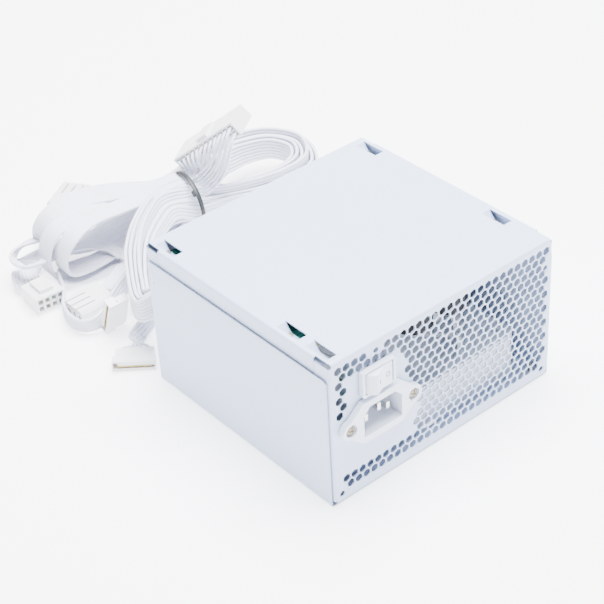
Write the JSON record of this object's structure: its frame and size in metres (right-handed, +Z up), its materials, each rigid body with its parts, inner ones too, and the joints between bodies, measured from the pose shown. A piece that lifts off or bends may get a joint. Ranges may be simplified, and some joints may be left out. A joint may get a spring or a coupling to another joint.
{
  "type": "power supply unit",
  "caption": "Desktop computer power supply in a folded white steel case, with a mains inlet, rocker switch, vent grille, base fan and a tied bundle of flat white output cables.",
  "frame": {"origin": "bottom centre of the case as it stands on its fan side, cables left out", "axes": "+Z up from the fan side to the top plate; +X along the case's width, with the mains inlet at the -X end; -Y faces out of the rear panel that has the inlet, and the cables leave at +Y"},
  "size_m": [0.201, 0.3377, 0.086],
  "materials": {
    "powder_white": "white powder coat",
    "moulded_white": "white moulded plastic",
    "cable_white": "white cable insulation",
    "plug_white": "white plug housing",
    "black_plastic": "black moulded plastic",
    "zinc": "zinc plated",
    "nickel": "nickel plated",
    "aluminium": "mill finish",
    "board_green": "green solder resist",
    "core_yellow": "yellow tape and lacquer",
    "sleeve_black": "black shrink sleeve",
    "lead_brown": "brown insulation",
    "lead_blue": "blue insulation",
    "lead_earth": "green and yellow insulation"
  },
  "bodies": {
    "case": {"ac_inlet": "moulded_white", "atx_plug": "plug_white", "board_screw_1": "zinc", "board_screw_2": "zinc", "board_screw_3": "zinc", "board_screw_4": "zinc", "bulk_capacitor_1": "sleeve_black", "bulk_capacitor_2": "sleeve_black", "cable_grommet": "moulded_white", "cable_hank": "cable_white", "cable_lead": "cable_white", "cable_tie": "black_plastic", "chassis": "powder_white", "cover": "powder_white", "cover_screw_1": "zinc", "cover_screw_2": "zinc", "cover_screw_3": "zinc", "cover_screw_4": "zinc", "cpu_plug": "plug_white", "earth_lead": "lead_earth", "earth_pin": "nickel", "fan_frame": "moulded_white", "fan_guard": "nickel", "fan_lead": "sleeve_black", "fan_screw_1": "zinc", "fan_screw_2": "zinc", "fan_screw_3": "zinc", "fan_screw_4": "zinc", "inlet_screw_1": "zinc", "inlet_screw_2": "zinc", "line_choke": "core_yellow", "line_lead": "lead_brown", "line_pin": "nickel", "main_board": "board_green", "main_transformer": "core_yellow", "mains_capacitor": "core_yellow", "neutral_lead": "lead_blue", "neutral_pin": "nickel", "output_capacitor_1": "sleeve_black", "output_capacitor_2": "sleeve_black", "output_capacitor_3": "sleeve_black", "output_choke": "core_yellow", "peripheral_plug_1": "plug_white", "peripheral_plug_2": "plug_white", "primary_heatsink": "aluminium", "rocker_pin": "nickel", "sata_plug_1": "plug_white", "sata_plug_2": "plug_white", "secondary_heatsink": "aluminium", "standby_transformer": "core_yellow", "switch_body": "moulded_white"},
    "rocker": {"switch_rocker": "moulded_white"},
    "rotor": {"fan_rotor": "moulded_white", "fan_shaft": "nickel"}
  },
  "joints": [
    {"name": "rocker_tilt", "type": "hinge", "parent": "case", "child": "rocker", "pos_m": [-0.046, -0.06716, 0.0662], "axis": [0, 0, -1], "range_deg": [0, 30]},
    {"name": "fan_spin", "type": "hinge", "parent": "case", "child": "rotor", "pos_m": [0, 0.00234, 0.0051], "axis": [0, 0, 1], "continuous": true}
  ]
}
